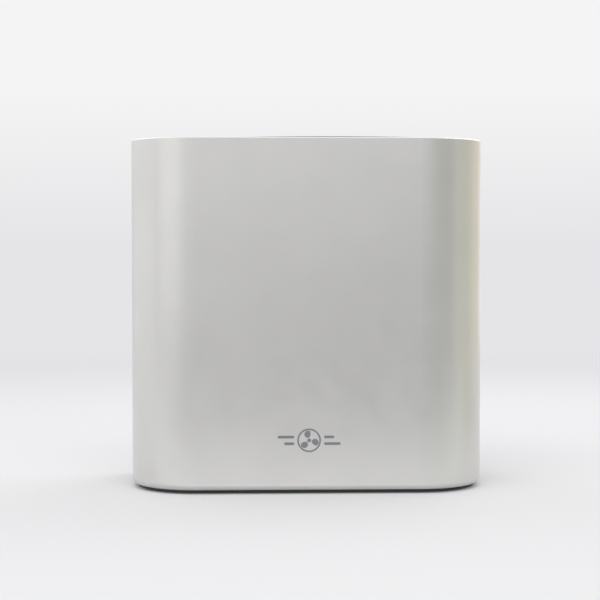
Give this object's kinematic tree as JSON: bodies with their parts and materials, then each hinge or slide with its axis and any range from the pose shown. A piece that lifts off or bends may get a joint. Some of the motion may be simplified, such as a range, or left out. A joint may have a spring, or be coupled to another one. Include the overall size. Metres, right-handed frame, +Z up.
{
  "type": "heat recovery unit",
  "caption": "Wall-mounted room ventilator with a round-cornered silver cover, plate heat exchanger, fans, filters, damper flaps, rear duct spigots and a wall bracket.",
  "frame": {"origin": "bottom centre of the whole unit, on the plane that its foot pads stand on", "axes": "+Z up, the front cover faces -Y and the duct spigots point to +Y, +X to the right seen from the front"},
  "size_m": [0.39, 0.2, 0.3872],
  "materials": {
    "cover_silver": "satin silver metallic paint on moulded plastic",
    "emblem_grey": "satin dark grey inlay",
    "zinc_steel": "zinc plated",
    "casing_white": "fine moulded texture",
    "base_black": "fine moulded texture",
    "black_rubber": "matt",
    "grey_foam": "expanded bead foam",
    "duct_grey": "satin moulded",
    "shaft_steel": "ground",
    "core_aluminium": "rolled sheet",
    "top_grey": "fine moulded texture",
    "strip_grey": "satin moulded",
    "lens_white": "translucent, polished",
    "window_black": "polished",
    "button_silver": "satin paint",
    "board_green": "solder resist",
    "component_black": "moulded",
    "terminal_green": "moulded",
    "fan_black": "glass-filled, matt",
    "copper": "enamelled wire",
    "filter_white": "moulded",
    "filter_fleece": "pleated fleece",
    "flap_grey": "satin moulded"
  },
  "bodies": {
    "unit": {"base_plate": "base_black", "board_components": "component_black", "button_board": "board_green", "cable_grommet": "black_rubber", "case_screws": "zinc_steel", "chassis": "casing_white", "condensate_tray": "duct_grey", "control_board": "board_green", "control_strip": "strip_grey", "core_edge_rails": "core_aluminium", "core_end_plates": "duct_grey", "core_plates": "core_aluminium", "cover_magnets": "zinc_steel", "damper_spindles": "shaft_steel", "exhaust_spigot": "duct_grey", "extract_inlet_ring": "fan_black", "extract_motor_mount": "fan_black", "extract_stator": "zinc_steel", "extract_windings": "copper", "fan_bearings": "shaft_steel", "indicator_lenses": "lens_white", "insulation_front": "grey_foam", "insulation_plug": "grey_foam", "insulation_rear": "grey_foam", "intake_spigot": "duct_grey", "rear_panel": "casing_white", "rubber_pads": "black_rubber", "sensor_window": "window_black", "service_panel": "casing_white", "supply_inlet_ring": "fan_black", "supply_motor_mount": "fan_black", "supply_stator": "zinc_steel", "supply_windings": "copper", "switch_housing": "base_black", "terminal_block": "terminal_green", "top_grille": "top_grey", "wall_bracket": "zinc_steel"},
    "cover": {"front_cover": "cover_silver", "front_badge": "emblem_grey", "cover_strikers": "zinc_steel"},
    "extract_filter": {"extract_filter_frame": "filter_white", "extract_filter_media": "filter_fleece", "extract_filter_cap": "filter_white"},
    "supply_filter": {"supply_filter_frame": "filter_white", "supply_filter_media": "filter_fleece", "supply_filter_cap": "filter_white"},
    "extract_fan": {"extract_impeller": "fan_black", "extract_rotor": "zinc_steel", "extract_shaft": "shaft_steel"},
    "supply_fan": {"supply_impeller": "fan_black", "supply_rotor": "zinc_steel", "supply_shaft": "shaft_steel"},
    "exhaust_left_flap": {"exhaust_flap_left": "flap_grey"},
    "exhaust_right_flap": {"exhaust_flap_right": "flap_grey"},
    "intake_left_flap": {"intake_flap_left": "flap_grey"},
    "intake_right_flap": {"intake_flap_right": "flap_grey"},
    "power_key": {"power_button": "button_silver"},
    "speed_key": {"speed_button": "button_silver"},
    "timer_key": {"timer_button": "button_silver"},
    "mains_rocker": {"switch_rocker": "base_black"}
  },
  "joints": [
    {"name": "cover_slide", "type": "slide", "parent": "unit", "child": "cover", "axis": [0, -1, 0], "range_m": [0, 0.3]},
    {"name": "extract_filter_slide", "type": "slide", "parent": "unit", "child": "extract_filter", "axis": [0, -1, 0], "range_m": [0, 0.12]},
    {"name": "supply_filter_slide", "type": "slide", "parent": "unit", "child": "supply_filter", "axis": [0, -1, 0], "range_m": [0, 0.12]},
    {"name": "extract_fan_spin", "type": "hinge", "parent": "unit", "child": "extract_fan", "pos_m": [0.11, 0.02, 0.288], "axis": [0, 1, 0], "continuous": true},
    {"name": "supply_fan_spin", "type": "hinge", "parent": "unit", "child": "supply_fan", "pos_m": [-0.11, 0.02, 0.288], "axis": [0, 1, 0], "continuous": true},
    {"name": "exhaust_left_flap_turn", "type": "hinge", "parent": "unit", "child": "exhaust_left_flap", "pos_m": [0.11, 0.0525, 0.288], "axis": [0, 0, -1], "range_deg": [0, 85], "stiffness_Nm_per_rad": 0.02, "springref_deg": -17.19},
    {"name": "exhaust_right_flap_turn", "type": "hinge", "parent": "unit", "child": "exhaust_right_flap", "pos_m": [0.11, 0.0525, 0.288], "axis": [0, 0, 1], "range_deg": [0, 85], "stiffness_Nm_per_rad": 0.02, "springref_deg": -17.19},
    {"name": "intake_left_flap_turn", "type": "hinge", "parent": "unit", "child": "intake_left_flap", "pos_m": [0.11, 0.0535, 0.086], "axis": [0, 0, 1], "range_deg": [0, 85], "stiffness_Nm_per_rad": 0.02, "springref_deg": -17.19},
    {"name": "intake_right_flap_turn", "type": "hinge", "parent": "unit", "child": "intake_right_flap", "pos_m": [0.11, 0.0535, 0.086], "axis": [0, 0, -1], "range_deg": [0, 85], "stiffness_Nm_per_rad": 0.02, "springref_deg": -17.19},
    {"name": "power_press", "type": "slide", "parent": "unit", "child": "power_key", "axis": [0, 0, -1], "range_m": [0, 0.001], "stiffness_N_per_m": 800, "springref_m": -0.0004},
    {"name": "speed_press", "type": "slide", "parent": "unit", "child": "speed_key", "axis": [0, 0, -1], "range_m": [0, 0.001], "stiffness_N_per_m": 800, "springref_m": -0.0004},
    {"name": "timer_press", "type": "slide", "parent": "unit", "child": "timer_key", "axis": [0, 0, -1], "range_m": [0, 0.001], "stiffness_N_per_m": 800, "springref_m": -0.0004},
    {"name": "mains_rocker_tilt", "type": "hinge", "parent": "unit", "child": "mains_rocker", "pos_m": [0.163, 0.024, 0.378], "axis": [1, 0, 0], "range_deg": [0, 16]}
  ],
  "couplings": [
    {"joint": "extract_filter_slide", "follows": "cover_slide", "ratio": 0.4},
    {"joint": "supply_filter_slide", "follows": "cover_slide", "ratio": 0.4},
    {"joint": "exhaust_right_flap_turn", "follows": "exhaust_left_flap_turn", "ratio": 1},
    {"joint": "intake_right_flap_turn", "follows": "intake_left_flap_turn", "ratio": 1}
  ]
}
